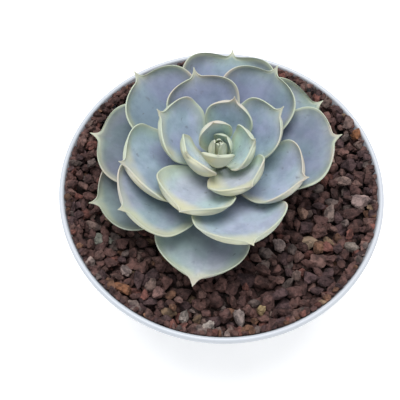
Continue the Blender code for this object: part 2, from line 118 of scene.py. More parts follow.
STONE_SHADES = (0.76, 1.42)         # darkest and lightest, as factors on the colour
TOP_PULL = 0.8                      # how much height makes up for distance from a place named
STONE_SHAPES = 36
STONE_CORNERS = 11
STONE_LEVELS = 2                    # how often each facet is divided
FACET_ANGLE = math.radians(24)      # sharper turns than this stay sharp

# Stem and rosette
STEM_RADIUS = 4.0
STEM_LEAN = (-1.8, 1.7)
STEM_TOP_SHARE = 0.62               # radius of its top, as a share
STEM_RINGS = 60
STEM_SIDES = 48
YOUNG_STEM = (8.0, 13.0)            # where the bark turns green, over the pot's height
GOLDEN_ANGLE = math.radians(137.508)
FIRST_AZIMUTH = math.radians(258.5)
FIRST_HEART = 20                    # number of the oldest leaf of the heart
FIRST_BUD = 23                      # number of the oldest leaf that is still closed
LAST_LEAF = 27
LEAF_NUMBERS = [-3, 0, 1, 2] + list(range(4, FIRST_HEART))
HEART_NUMBERS = list(range(FIRST_HEART, LAST_LEAF + 1))
WIDEST_SHARE = 0.68
BUD_WIDEST_SHARE = 0.5
ROOT_BREADTH = 0.30
ROOT_SWELL = 1.3                    # how slowly a blade widens from its root
HOLLOW = 0.17                       # how far a blade is hollowed, as a share of its half width
EDGE_THICKNESS = 0.7
HEART_EDGE = 0.55
WAVINESS = 0.02                     # of the margins, as a share of the width
LEAF_GAP = 0.3
PRESS_DEPTH = 7.0
PRESS_PASSES = 3
PRESS_DONE = 0.02                   # depth that needs no further pass
SPREAD_PASSES = 30
PAINTED_LIGHT_SIDE = (-0.45, -0.89)         # side towards which the leaf edges are painted palest, as painted light

# Point at a leaf's end
SPIKE_LENGTH = 3.2
HEART_SPIKE = 0.22                  # as a factor on the length
TIP_DRAW = 0.35                     # how far the rounded blade ends before the point
TIP_WIDTH = 0.06                    # half width of the very tip
TAPER_WIDTH = 0.28                  # what its root adds to that
FLARE_WIDTH = 1.3                   # half width where it grows out of the blade
FLARE_LENGTH = 0.8
SPIKE_INSIDE = 4.0                  # how far into the blade it is drawn

# How single leaves stray from the rule. Up to leaf 19, what places and bends them is as in the
# frame. Turn, roll and bend are in degrees, and reach, lift, width, thick, spike and tongue are
# in millimetres. Dish is a factor on how far the blade is hollowed, and blunt is the roundness
# of its end. Tongue widens the point, widest is where the blade is widest, root is its breadth
# where it begins, and swell is how slowly it widens from there. Bloom is a factor on how pale
# the wax is, and also paints light and shade: leaf 0, in the shade of the leaves over it, is
# painted paler. Warm adds to how much cream the leaf has.
STRAY = {
    -3: dict(turn=-5, roll=-18, lift=-1.5, width=-4, dish=1.4, thick=-1.3, bloom_and_light=0.88),
    0: dict(turn=2, dish=0.75, bloom_and_light=1.3, blunt=1.9, spike=1.0, tongue=1.0),
    1: dict(turn=-2, lift=-2, width=2, bend=-20, dish=1.3, thick=-0.5, bloom_and_light=1.25),
    2: dict(turn=-3, lift=-1, width=1, bend=-20, dish=0.5, bloom_and_light=0.7),
    4: dict(turn=-5, lift=-2.5, width=3, bend=-35, dish=1.5, bloom_and_light=1.2),
    5: dict(turn=-7, reach=-1, lift=1, roll=-12, dish=0.6),
    6: dict(lift=2, width=1, dish=0.4, bloom_and_light=0.87),
    7: dict(turn=-2, lift=2),
    8: dict(turn=7, reach=2, lift=1, width=1.5, bloom_and_light=1.08),
    9: dict(bloom_and_light=0.92),
    10: dict(turn=4, width=2, bend=15, bloom_and_light=1.07),
    11: dict(turn=3, lift=-1.5, width=-2, roll=5, bend=15, dish=1.2),
    12: dict(reach=-1.5, bloom_and_light=0.92),
    13: dict(reach=2.5, lift=-1, width=2, dish=1.2, bloom_and_light=1.05, warm=0.2),
    14: dict(turn=3, reach=-1.5, lift=1, width=-2, bloom_and_light=0.94),
    15: dict(turn=-3, lift=1, width=1.5, roll=5),
    16: dict(reach=2, roll=10, dish=1.2, warm=0.3),
    17: dict(turn=-6, reach=-1.5, lift=1.5, width=-3, bend=20),
    18: dict(bloom_and_light=1.15),
    19: dict(reach=2, roll=15, dish=1.3),
    20: dict(turn=-16, reach=4.0, lift=2.2, width=7.2, dish=1.2, blunt=3.0),
    21: dict(reach=4.3, lift=0.4, width=6.0, dish=0.5, blunt=4.0, widest=0.88, root=0.25,
             swell=3.0, bloom_and_light=0.92),
    22: dict(reach=1.6, lift=-1.7, width=3.4, dish=1.2, blunt=3.0),
    23: dict(turn=10),
    24: dict(blunt=1.6),
}

# Leaf grid
ROOT_ROWS = 20
END_ROWS = 16
SPIKE_ROWS = 6
COLUMNS = 30
EDGE_POINTS = 3
EDGE_CROWDING = math.radians(80)    # how far the columns crowd towards the edges
END_CROWDING = math.radians(84)     # and the rows towards the blade's end


def add_object(name, mesh, finish, group="potted_echeveria_looks"):
    folder = bpy.data.collections.get(group)
    if folder is None:
        folder = bpy.data.collections.new(group)
        bpy.context.scene.collection.children.link(folder)
    made = bpy.data.objects.new(name, mesh)
    folder.objects.link(made)
    mesh.materials.append(finish)
    return made


def dress(piece, slot, *nodes):
    """The piece stands for those CAD nodes and goes with the only body."""
    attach(piece, "root")
    if nodes:
        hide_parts(*nodes)
    return piece


def smooth_mesh(name, points, faces):
    mesh = bpy.data.meshes.new(name)
    mesh.from_pydata((np.asarray(points) * MM).tolist(), [], faces)
    mesh.validate()
    mesh.polygons.foreach_set("use_smooth", np.ones(len(mesh.polygons), dtype=bool))
    return mesh


def point_values(mesh, name, values):
    layer = mesh.attributes.new(name, "FLOAT", "POINT")
    layer.data.foreach_set("value", np.asarray(values, dtype=np.float32))


class Shader:
    """A small helper that adds nodes to one material and joins them."""

    def __init__(self, name):
        self.made = bpy.data.materials.new(name)
        self.made.use_nodes = True
        self.tree = self.made.node_tree
        self.surface = self.tree.nodes["Principled BSDF"]

    def node(self, kind, inputs=(), **settings):
        node = self.tree.nodes.new(kind)
        for key, value in settings.items():
            setattr(node, key, value)
        for key, value in dict(inputs).items():
            self.feed(node, key, value)
        return node

    def feed(self, node, key, value):
        socket = node.inputs[key]
        if isinstance(value, bpy.types.NodeSocket):
            self.tree.links.new(value, socket)
        else:
            socket.default_value = value

    def attribute(self, name):
        return self.node("ShaderNodeAttribute", attribute_name=name).outputs["Fac"]

    def colour_attribute(self, name):
        return self.node("ShaderNodeAttribute", attribute_name=name).outputs["Color"]

    def math(self, operation, first, second=0.0, third=0.0):
        return self.node("ShaderNodeMath", {0: first, 1: second, 2: third},
                         operation=operation).outputs[0]

    def band(self, value, low, high, smooth=True):
        """0 where value is low, 1 where it is high."""
        kind = "SMOOTHSTEP" if smooth else "LINEAR"
        node = self.node("ShaderNodeMapRange",
                         {"Value": value, "From Min": low, "From Max": high, "To Min": 0.0,
                          "To Max": 1.0}, interpolation_type=kind)
        return node.outputs["Result"]

    def mix(self, share, first, second, blend="MIX"):
        node = self.tree.nodes.new("ShaderNodeMix")
        node.data_type = "RGBA"
        node.blend_type = blend
        self.feed(node, 0, share)
        self.feed(node, 6, (*first, 1.0) if isinstance(first, tuple) else first)
        self.feed(node, 7, (*second, 1.0) if isinstance(second, tuple) else second)
        return node.outputs[2]

    def noise(self, scale, detail=3.0, roughness=0.55, distortion=0.0):
        place = self.node("ShaderNodeTexCoord").outputs["Object"]
        return self.node("ShaderNodeTexNoise",
                         {"Vector": place, "Scale": scale, "Detail": detail,
                          "Roughness": roughness, "Distortion": distortion}).outputs["Fac"]

    def streaks(self, along, across):
        """Noise drawn out along a leaf, in the leaf's own directions."""
        place = self.node("ShaderNodeCombineXYZ",
                          {0: self.math("MULTIPLY", self.attribute("side"), across / 10),
                           1: self.math("MULTIPLY", self.attribute("along"), along),
                           2: self.attribute("number")}).outputs[0]
        return self.node("ShaderNodeTexNoise", {"Vector": place, "Scale": 1.0, "Detail": 2.0,
                                                "Roughness": 0.5}).outputs["Fac"]

    def bump(self, height, strength, distance):
        return self.node("ShaderNodeBump", {"Height": height, "Strength": strength,
                                            "Distance": distance}).outputs["Normal"]


def leaf_rule(number):
    """Shape and place of one leaf, worked out from its number along the spiral."""
    youth = number / FIRST_HEART
    young = max(youth, 0.0)
    stray = STRAY.get(number, {})
    if number < FIRST_HEART:
        reach = 44 - 8 * youth - 30 * youth ** 2
        lift = 29.5 - 17.5 * math.exp(-max(number, 0) / 5)
        width = 34 - 19 * young ** 2.2
        root_height = 5 + 0.48 * max(number, 0)
        root_radius = 4.6 - 1.2 * youth
        bend = 25
        thick = 3.8 - 1.0 * young
        edge = EDGE_THICKNESS + 0.15 * young
        spike = SPIKE_LENGTH * min(1.0, 0.3 + width / 36)
        blunt = 2.5
    else:
        inner = number - FIRST_HEART
        closed = max(number - FIRST_BUD + 1, 0)
        reach = 1.7 - 0.3 * closed
        lift = 27.1 - 0.45 * closed
        width = 5.6 - 0.5 * closed
        root_height = 14.0 + 0.45 * inner
        root_radius = 3.2 - 0.4 * inner
        bend = 30 if closed else 20
        thick = 2.6 * 0.88 ** inner
        edge = HEART_EDGE
        spike = SPIKE_LENGTH * HEART_SPIKE
        blunt = 1.1
    return dict(
        azimuth=FIRST_AZIMUTH + number * GOLDEN_ANGLE + math.radians(stray.get("turn", 0)),
        reach=reach + stray.get("reach", 0),
        lift=POT_HEIGHT + lift + stray.get("lift", 0),
        width=width + stray.get("width", 0),
        root_height=POT_HEIGHT + root_height,
        root_radius=root_radius,
        bend=math.radians(bend + stray.get("bend", 0)),
        dish=stray.get("dish", 1.0 if number < FIRST_BUD else 0.6),
        roll=math.radians(stray.get("roll", 0)),
        thick=thick + stray.get("thick", 0),
        edge=edge,
        blunt=stray.get("blunt", blunt),
        widest=stray.get("widest", WIDEST_SHARE if number < FIRST_BUD else BUD_WIDEST_SHARE),
        root=stray.get("root", ROOT_BREADTH),
        swell=stray.get("swell", ROOT_SWELL),
        spike=spike + stray.get("spike", 0),
        tongue=stray.get("tongue", 0.0),
        bloom_and_light=stray.get("bloom_and_light", 1.0),
        warm=stray.get("warm", 0.0),
    )


class Leaf:
    """One leaf on a fine grid: rows from the root to the point, columns from edge to edge."""

    def __init__(self, number):
        self.number = number
        self.rule = leaf_rule(number)
        draw = random.Random(100 + number)
        self.wave_draws = [(draw.uniform(7, 15), draw.uniform(0, 6.3)) for _ in range(2)]
        rule = self.rule
        rise = rule["lift"] - rule["root_height"]
        run = rule["reach"] - rule["root_radius"]
        bend = rule["bend"]
        self.slope = math.atan2(rise, run)
        self.length = math.hypot(rise, run) * (bend / 2) / math.sin(bend / 2)
        turns = np.linspace(0, END_CROWDING, END_ROWS + 1)[1:]
        widest = rule["widest"]
        ends = widest + (1 - widest) * np.sin(turns) ** 0.8
        blade = np.concatenate([np.linspace(0, widest, ROOT_ROWS + 1), ends])
        spike = 1 + rule["spike"] / self.length * np.linspace(0.08, 1.0, SPIKE_ROWS)
        self.shares = np.concatenate([blade, spike])
        turns = np.linspace(-1, 1, COLUMNS + 1) * EDGE_CROWDING
        self.across = np.sin(turns) / math.sin(EDGE_CROWDING)
        self.halves = self.half_widths()
        self.drops = np.zeros((len(self.shares), COLUMNS + 1))

    def half_widths(self):
        """Half the leaf's width at each row: a rounded blade that is drawn out into a point."""
        size = min(self.rule["spike"] / SPIKE_LENGTH, 1.0)
        full = 1.0 - TIP_DRAW * size / self.length
        share = np.minimum(self.shares / full, 1.0)
        widest = self.rule["widest"]
        root = self.rule["root"]
        blunt = self.rule["blunt"]
        swell = np.sin(np.pi / 2 * np.minimum(share / widest, 1.0)) ** self.rule["swell"]
        breadth = root + (1 - root) * swell
        end = np.clip((share - widest) / (1 - widest), 0, 1)
        breadth = np.where(share > widest, (1 - end ** max(blunt, 2.0)) ** (1 / blunt), breadth)
        blade = self.rule["width"] / 2 * breadth
        past = (self.shares - 1) * self.length
        taper = np.clip(1 - past / self.rule["spike"], 0, 1)
        tongue = self.rule["tongue"] * taper ** 1.5
        flare = FLARE_WIDTH * np.exp(-np.maximum(past / size, -TIP_DRAW) / FLARE_LENGTH)
        spike = size * (TIP_WIDTH + TAPER_WIDTH * taper + tongue + flare)
        spike = np.where(past < -SPIKE_INSIDE * size, 0, spike)
        return (blade ** 4 + spike ** 4) ** 0.25

    def midrib(self):
        """Radius from the rosette's axis, height and slope at each row."""
        rule = self.rule
        share = np.minimum(self.shares, 1.0)
        angle = self.slope + rule["bend"] * (share - 0.5)
        first = self.slope - rule["bend"] / 2
        turn = self.length / rule["bend"]
        radius = rule["root_radius"] + turn * (np.sin(angle) - math.sin(first))
        height = rule["root_height"] - turn * (np.cos(angle) - math.cos(first))
        past = np.maximum(self.shares - 1, 0) * self.length
        return radius + past * np.cos(angle), height + past * np.sin(angle), angle

    def place(self, radius, height, side):
        """World points from a radius and a height along the leaf and an offset across it."""
        turn = self.rule["azimuth"]
        return np.stack([STEM_LEAN[0] + radius * math.cos(turn) - side * math.sin(turn),
                         STEM_LEAN[1] + radius * math.sin(turn) + side * math.cos(turn),
                         height], axis=-1)

    def fullness(self):
        """How thick the flesh is along the leaf, as a share."""
        share = np.clip(self.shares, 0, 1)
        return 0.35 + 0.65 * np.sin(np.pi * share ** 0.9) ** 0.9

    def waves(self):
        """A slight waviness of the two margins, in millimetres."""
        share = np.clip(self.shares, 0, 1)[:, None]
        size = WAVINESS * self.rule["width"] * np.sin(np.pi * share)
        left, right = (np.sin(share * turns + start) for turns, start in self.wave_draws)
        return size * np.where(self.across[None, :] < 0, left, right)

    def section(self):
        """Side and normal offsets of the face, and the depth under it, on the grid."""
        v = self.across[None, :]
        half = self.halves[:, None]
        side = half * v * (1 - 0.07 * v ** 4)
        dish = half * self.rule["dish"] * HOLLOW * (v ** 2 + v ** 4)
        dish = dish + self.waves() * np.abs(v) ** 3
        edge = np.minimum(self.rule["edge"], 1.5 * half)
        flesh = self.rule["thick"] * self.fullness()[:, None] * np.minimum(1.0, half / 4)
        depth = edge + np.maximum(0.0, flesh - edge) * np.clip(1 - v ** 2, 0, 1) ** 0.8
        return side, dish, depth

    def offset(self, side, normal, drop):
        """World points of offsets from the midrib, in millimetres."""
        radius, height, angle = (part[:, None] for part in self.midrib())
        roll = self.rule["roll"] * np.minimum(self.shares, 1.0)[:, None]
        turned_side = side * np.cos(roll) - normal * np.sin(roll)
        turned_normal = side * np.sin(roll) + normal * np.cos(roll) - drop
        return self.place(radius - np.sin(angle) * turned_normal,
                          height + np.cos(angle) * turned_normal, turned_side)

    def face(self):
        side, dish, _ = self.section()
        return self.offset(side, dish, self.drops)

    def rings(self):
        """Closed rings of points: the face, one edge, the back and the other edge."""
        side, dish, depth = self.section()
        face = self.offset(side, dish, self.drops)
        back = self.offset(side, dish - depth, self.drops)[:, ::-1]
        turns = np.radians(np.linspace(90, -90, EDGE_POINTS + 2)[1:-1])
        edges = []
        for column, way in ((-1, 1), (0, -1)):
            radius = depth[:, column, None] / 2
            turn = turns[::way]
            edge_side = side[:, column, None] + way * radius * np.cos(turn)
            edge_normal = dish[:, column, None] - radius + radius * np.sin(turn)
            drop = np.repeat(self.drops[:, column, None], EDGE_POINTS, axis=1)
            edges.append(self.offset(edge_side, edge_normal, drop))
        return np.concatenate([face, edges[0], back, edges[1]], axis=1)

    def rim_distance(self):
        """Distance of each point of the face from the leaf's outline, in millimetres."""
        side = self.halves[:, None] * self.across[None, :]
        along = np.repeat((self.shares * self.length)[:, None], COLUMNS + 1, axis=1)
        points = np.stack([side, along], axis=-1)[:, :, None, :]
        outline = np.stack([self.halves, self.shares * self.length], axis=-1)
        nearest = np.full(side.shape, np.inf)
        for way in (1.0, -1.0):
            start = outline[:-1] * (way, 1.0)
            step = outline[1:] * (way, 1.0) - start
            share = ((points - start) * step).sum(-1) / (step ** 2).sum(-1)
            away = points - start - np.clip(share, 0, 1)[..., None] * step
            nearest = np.minimum(nearest, np.sqrt((away ** 2).sum(-1)).min(-1))
        return nearest

    def ring_values(self):
        """For each point of the rings: side share, distance from the outline, whether it lies on
        the face, and how far it lies towards the side of painted light, on leaves facing that side."""
        count = COLUMNS + 1
        rim = self.rim_distance()
        edge = np.zeros((len(self.shares), EDGE_POINTS))
        across = np.repeat(self.across[None, :], len(self.shares), axis=0)
        rims = np.concatenate([rim, edge, rim[:, ::-1], edge], axis=1)
        sides = np.concatenate([across, edge + 1, across[:, ::-1], edge - 1], axis=1)
        face = np.concatenate([np.ones((len(self.shares), count)), edge + 0.5,
                               np.zeros((len(self.shares), count)), edge + 0.5], axis=1)
        rings = self.rings()
        toward_painted_light = PAINTED_LIGHT_SIDE[0] * rings[:, :, 0] + PAINTED_LIGHT_SIDE[1] * rings[:, :, 1]
        turn = self.rule["azimuth"]
        faces_painted_light = PAINTED_LIGHT_SIDE[0] * math.cos(turn) + PAINTED_LIGHT_SIDE[1] * math.sin(turn)
        front = np.clip(0.3 + 1.3 * (toward_painted_light - toward_painted_light[ROOT_ROWS].mean()) / self.length, 0, 1)
        front = front * min(max(0.5 + 0.7 * faces_painted_light, 0.1), 1.0)
        return sides, rims, face, front

    def skin(self):
        """Points and quads of the rings, without the two ends."""
        rings = self.rings()
        index = np.arange(rings.shape[0] * rings.shape[1]).reshape(rings.shape[:2])
        after = np.roll(index, -1, axis=1)
        quads = np.stack([index[:-1], index[1:], after[1:], after[:-1]], axis=-1)
        return rings.reshape(-1, 3), quads.reshape(-1, 4)

    def mesh(self, name):
        points, quads = self.skin()
        rows = len(self.shares)
        count = len(points) // rows
        first = list(range(count))
        last = list(range(len(points) - count, len(points)))
        mesh = smooth_mesh(name, points, quads.tolist() + [first, last[::-1]])
        sides, rims, face, front = self.ring_values()
        along = np.repeat(self.shares[:, None], count, axis=1)
        for label, values in (("side", sides), ("rim", rims), ("face", face), ("along", along),
                              ("front", front)):
            point_values(mesh, label, values.ravel())
        pale, warm = self.tones()
        for label, value in (("pale", pale), ("warm", warm), ("number", self.number)):
            point_values(mesh, label, np.full(len(points), float(value)))
        return mesh

    def tones(self):
        """How pale and how warm the leaf is: young leaves are both, and leaves towards the front
        are painted paler and creamier as painted light.
        """
        front = -math.sin(self.rule["azimuth"])
        share = min(max(self.number / FIRST_HEART, 0.0), 1.0)
        pale = 0.26 + 0.24 * share + 0.14 * share ** 6
        # Painted light: leaves towards the front are made paler here and creamier below, and the
        # bloom factor paints leaf 0 paler where it lies in shade.
        pale *= (1 + 0.22 * front * (1 - 0.6 * share ** 6)) * self.rule["bloom_and_light"]
        warm = 0.30 + 0.25 * front + 0.5 * share ** 6 + 0.25 * max(0.0, 0.2 - share) / 0.2
        return pale, min(max(warm + self.rule["warm"], 0.0), 1.0)

    def press_under(self, younger):
        """Bend this leaf down until its face clears the skins of the younger leaves over it."""
        if not younger:
            return
        tree = joined_tree(younger)
        angle = self.midrib()[2]
        turn = self.rule["azimuth"]
        ups = [Vector((-math.sin(a) * math.cos(turn), -math.sin(a) * math.sin(turn), math.cos(a)))
               for a in angle]
        far = PRESS_DEPTH + LEAF_GAP
        for _ in range(PRESS_PASSES):
            face = self.face()
            needed = np.zeros_like(self.drops)
            for row in range(len(self.shares)):
                up = ups[row]
                for column in range(COLUMNS + 1):
                    begin = Vector(face[row, column]) - up * PRESS_DEPTH
                    hit = tree.ray_cast(begin, up, far)
                    if hit[0] is not None:
                        needed[row, column] = far - hit[3]
            if needed.max() < PRESS_DONE:
                break
            self.drops = self.soften(self.drops + needed)

    def soften(self, least):
        """Spread the drops into their neighbours, so that a pressed leaf bends and doesn't kink."""
        drops = least.copy()
        for _ in range(SPREAD_PASSES):
            padded = np.pad(drops, 1, mode="edge")
            around = padded[:-2, 1:-1] + padded[2:, 1:-1] + padded[1:-1, :-2] + padded[1:-1, 2:]
            drops = np.maximum(least, around / 4)
        return drops


def joined_tree(skins):
    """One search tree over the skins of several leaves."""
    points = np.concatenate([part for part, _ in skins])
    start = np.cumsum([0] + [len(part) for part, _ in skins])
    quads = np.concatenate([faces + low for (_, faces), low in zip(skins, start)])
    return BVHTree.FromPolygons(points.tolist(), quads.tolist())


def wax_colour(shader):
    """Wax over the leaf: bluer in the middle than at the border, cloudy, scuffed and scarred."""
    rim = shader.attribute("rim")
    warm = shader.attribute("warm")
    cloud = shader.noise(55.0, 3.0, 0.55, 0.3)
    mottle = shader.noise(130.0, 5.0, 0.65)
    middle = shader.mix(warm, (0.80, 0.985, 1.31), (0.87, 1.0, 1.0))
    border = shader.mix(warm, (0.84, 1.02, 1.08), (0.90, 1.02, 0.88))
    hue = shader.mix(shader.band(rim, 4.5, 0.8), middle, border)
    drift = shader.mix(shader.band(cloud, 0.36, 0.64), (0.93, 1.02, 0.97), (1.05, 0.975, 1.07))
    scuff = shader.mix(shader.band(mottle, 0.34, 0.66), (0.86, 0.87, 0.88), (1.13, 1.12, 1.11))
    lines = shader.mix(shader.band(shader.streaks(3.0, 60.0), 0.35, 0.7), (0.97, 0.97, 0.97),
                       (1.03, 1.03, 1.03))
    rise = shader.mix(shader.band(rim, 9.0, 1.5), (0.92, 0.93, 0.96), (1.09, 1.09, 1.05))
    for layer in (drift, scuff, lines, rise, shader.attribute("pale")):
        hue = shader.mix(1.0, hue, layer, "MULTIPLY")
    worn = shader.band(shader.noise(300.0, 4.0, 0.65, 0.8), 0.66, 0.74)
    hue = shader.mix(shader.math("MULTIPLY", worn, 0.55), hue, (0.12, 0.12, 0.11))
    scar = shader.band(shader.streaks(8.0, 45.0), 0.645, 0.74)
    return shader.mix(shader.math("MULTIPLY", scar, 0.5), hue, (0.16, 0.17, 0.20))


def cream_and_painted_light(shader, hue):
    """Cream zones inside the margins and under them, wide on young leaves. Towards the side of
    painted light they are wider and stronger, and there they are partly painted light.
    """
    rim = shader.attribute("rim")
    front = shader.attribute("front")
    youth = shader.band(shader.attribute("number"), 0.0, FIRST_HEART, smooth=False)
    patch = shader.noise(75.0, 2.0, 0.5, 0.5)
    tip = shader.band(shader.attribute("along"), 0.72, 1.0)
    reach = shader.math("MULTIPLY_ADD", youth, 16.0, 1.6)
    reach = shader.math("MULTIPLY_ADD", tip, shader.math("MULTIPLY_ADD", youth, 5.0, 1.0), reach)
    # Painted light: the zone is wider towards the side of painted light.
    width = shader.math("MULTIPLY_ADD", reach, front, 1.1)
    width = shader.math("MULTIPLY", width, shader.math("ADD", patch, 0.5))
    zone = shader.band(shader.math("DIVIDE", rim, width), 1.25, 0.3)
    cream = shader.mix(shader.band(patch, 0.42, 0.56), (0.56, 0.59, 0.51), (0.66, 0.64, 0.43))
    # Painted light: the cream is stronger towards the side of painted light.
    share = shader.math("MULTIPLY_ADD", front, 0.95, 0.22)
    share = shader.math("MULTIPLY", share, shader.math("MULTIPLY_ADD", youth, 1.1, 0.36))
    hue = shader.mix(shader.math("MULTIPLY", zone, share), hue, cream)
    # Cream under the margins of young leaves, only towards the side of painted light: partly
    # painted light.
    under = shader.band(shader.attribute("face"), 0.9, 0.1)
    under = shader.math("MULTIPLY", under, shader.band(rim, 5.0, 1.0))
    under = shader.math("MULTIPLY", under, shader.math("MULTIPLY", front, youth))
    return shader.mix(shader.math("MULTIPLY", under, 0.8), hue, (0.77, 0.76, 0.62))


def lined(shader, hue):
    """A thin blushing line along the margins, weaker towards the side of painted light, and a pink
    point.
    """
    cloud = shader.noise(55.0, 3.0, 0.55, 0.3)
    blush = shader.mix(shader.band(cloud, 0.5, 0.66), (0.52, 0.58, 0.46), (0.60, 0.55, 0.47))
    toward_painted_light = shader.band(shader.attribute("front"), 0.3, 0.7)
    line = shader.math("MULTIPLY", shader.band(shader.attribute("rim"), 1.15, 0.2),
                       shader.math("MULTIPLY_ADD", toward_painted_light, -0.6, 0.9))
    hue = shader.mix(line, hue, blush)
    pink = shader.band(shader.attribute("along"), 0.99, 1.04)
    return shader.mix(shader.math("MULTIPLY", pink, 0.22), hue, (0.62, 0.50, 0.42))


def leaf_material():
    shader = Shader("leaf_wax")
    shader.feed(shader.surface, "Base Color", lined(shader, cream_and_painted_light(shader, wax_colour(shader))))
    surface = shader.surface
    surface.inputs["Roughness"].default_value = 0.62
    surface.inputs["Specular IOR Level"].default_value = 0.35
    surface.inputs["Subsurface Weight"].default_value = 0.15
    surface.inputs["Subsurface Radius"].default_value = (1.0, 0.9, 0.5)
    surface.inputs["Subsurface Scale"].default_value = 0.001
    shader.feed(surface, "Normal", shader.bump(shader.noise(130.0, 5.0, 0.65), 0.2, 0.0003))
    return shader.made


def make_rosette():
    """Leaves from the youngest down, each pressed under the ones before it. Returns their skins."""
    finish = leaf_material()
    skins = []
    heart_parts = []
    for number in sorted(HEART_NUMBERS + LEAF_NUMBERS, reverse=True):
        leaf = Leaf(number)
        leaf.press_under(skins)
        if number in LEAF_NUMBERS:
            name = f"leaf_{LEAF_NUMBERS.index(number) + 1:02d}"
            piece = add_object(name + "_fine", leaf.mesh(name), finish)
            dress(piece, "leaf_blue", name)
        else:
            heart_parts.append(add_object(f"heart_{number}", leaf.mesh("heart"), finish))
        skins.append(leaf.skin())
    join_objects(heart_parts, "heart_fine")
    dress(heart_parts[0], "leaf_green", "heart")
    return skins


def join_objects(parts, name):
    bpy.ops.object.select_all(action="DESELECT")
    for part in parts:
        part.select_set(True)
    bpy.context.view_layer.objects.active = parts[0]
    bpy.ops.object.join()
    parts[0].name = name


def wall_radius(height):
    share = (height - FOOT_HEIGHT) / (POT_HEIGHT - FOOT_HEIGHT)
    straight = POT_FOOT_RADIUS + share * (POT_LIP_RADIUS - LIP_STEP - POT_FOOT_RADIUS)
    return straight + POT_BELLY * math.sin(math.pi * max(share, 0.0))


def inner_radius(height):
    return wall_radius(height) - POT_WALL


def pot_outline():
    """The wall's section as (radius, height), down the outside and up the inside."""
    lip_round = (POT_WALL + LIP_STEP) / 2
    lip_centre = POT_LIP_RADIUS - lip_round
    outline = []
    for turn in np.radians(np.linspace(90, 0, 9)):
        outline.append((lip_centre + lip_round * math.cos(turn),
                        POT_HEIGHT - lip_round + lip_round * math.sin(turn)))
    outline.append((POT_LIP_RADIUS, POT_HEIGHT - LIP_DEPTH))
    for height in np.linspace(POT_HEIGHT - LIP_DEPTH - LIP_STEP, FOOT_HEIGHT + 3, 22):
        outline.append((wall_radius(height), height))
    outline.append((wall_radius(FOOT_HEIGHT) - FOOT_STEP, FOOT_HEIGHT + FOOT_DRAFT))
    outline.append((POT_FOOT_RADIUS, FOOT_HEIGHT))
    outline.append((POT_FOOT_RADIUS - FOOT_DRAFT, 0.0))
    outline.append((POT_FOOT_RADIUS - FOOT_RING_WIDTH, 0.0))
    outline.append((POT_FOOT_RADIUS - FOOT_RING_WIDTH - FOOT_DRAFT, FOOT_HEIGHT))
    outline.append((0.0, FOOT_HEIGHT))
    floor = FOOT_HEIGHT + FLOOR_THICKNESS
    corner = floor + FLOOR_CORNER
    outline.append((0.0, floor))
    outline.append((inner_radius(corner) - 3 * FLOOR_CORNER, floor))
    outline.append((inner_radius(corner) - FLOOR_CORNER, corner))
    for height in np.linspace(corner + 3, POT_HEIGHT - LIP_DEPTH, 22):
        outline.append((inner_radius(height), height))
    for turn in np.radians(np.linspace(180, 100, 8)):
        outline.append((lip_centre + lip_round * math.cos(turn),
                        POT_HEIGHT - lip_round + lip_round * math.sin(turn)))
    return outline


def turned_mesh(name, outline, steps):
    """A (radius, height) outline turned about Z; a point on the axis becomes one vertex."""
    shape = bmesh.new()
    columns = []
    for radius, height in outline:
        if radius == 0.0:
            columns.append([shape.verts.new((0.0, 0.0, height * MM))] * steps)
            continue
        ring = []
        for step in range(steps):
            turn = math.tau * step / steps
            ring.append(shape.verts.new((radius * math.cos(turn) * MM, radius * math.sin(turn) * MM,
                                         height * MM)))
        columns.append(ring)
    pairs = list(zip(columns, columns[1:]))
    if outline[0][0] > 0.0:
        pairs.append((columns[-1], columns[0]))
    for first, second in pairs:
        if first[0] is first[1] and second[0] is second[1]:
            continue
        for step in range(steps):
            after = (step + 1) % steps
            corners = []
            for vert in (first[step], first[after], second[after], second[step]):
                if vert not in corners:
                    corners.append(vert)
            shape.faces.new(corners)
    bmesh.ops.recalc_face_normals(shape, faces=shape.faces)
    mesh = bpy.data.meshes.new(name)
    shape.to_mesh(mesh)
    shape.free()
    mesh.polygons.foreach_set("use_smooth", np.ones(len(mesh.polygons), dtype=bool))
    return mesh


def apply_modifiers(piece):
    graph = bpy.context.evaluated_depsgraph_get()
    mesh = bpy.data.meshes.new_from_object(piece.evaluated_get(graph))
    piece.modifiers.clear()
    piece.data = mesh


def pot_material():
    shader = Shader("pot_plastic")
    haze = shader.noise(14.0, 3.0)
    tone = shader.mix(shader.band(haze, 0.3, 0.7), (0.56, 0.60, 0.66), (0.60, 0.63, 0.68))
    surface = shader.surface
    shader.feed(surface, "Base Color", tone)
    surface.inputs["Roughness"].default_value = 0.32
    fine = shader.noise(900.0, 2.0)
    shader.feed(surface, "Normal", shader.bump(fine, 0.05, 0.0002))
    return shader.made


def make_pot():
    pot = add_object("pot_fine", turned_mesh("pot_fine", pot_outline(), POT_STEPS), pot_material())
    cutters = []
    for index in range(DRAIN_COUNT):
        turn = math.tau * index / DRAIN_COUNT
        shape = bmesh.new()
        bmesh.ops.create_cone(shape, cap_ends=True, segments=DRAIN_SIDES,
                              radius1=DRAIN_RADIUS * MM, radius2=DRAIN_RADIUS * MM,
                              depth=CUTTER_DEPTH * MM)
        mesh = bpy.data.meshes.new("drain")
        shape.to_mesh(mesh)
        shape.free()
        cutter = bpy.data.objects.new("drain", mesh)
        bpy.context.scene.collection.objects.link(cutter)
        cutter.location = (DRAIN_CIRCLE * math.cos(turn) * MM,
                           DRAIN_CIRCLE * math.sin(turn) * MM, CUTTER_LEVEL * MM)
        step = pot.modifiers.new("drain", "BOOLEAN")
        step.object = cutter
        cutters.append(cutter)
    apply_modifiers(pot)
    for cutter in cutters:
        bpy.data.objects.remove(cutter, do_unlink=True)
    pot.data.set_sharp_from_angle(angle=math.radians(35))
    return dress(pot, "pot_white", "pot")


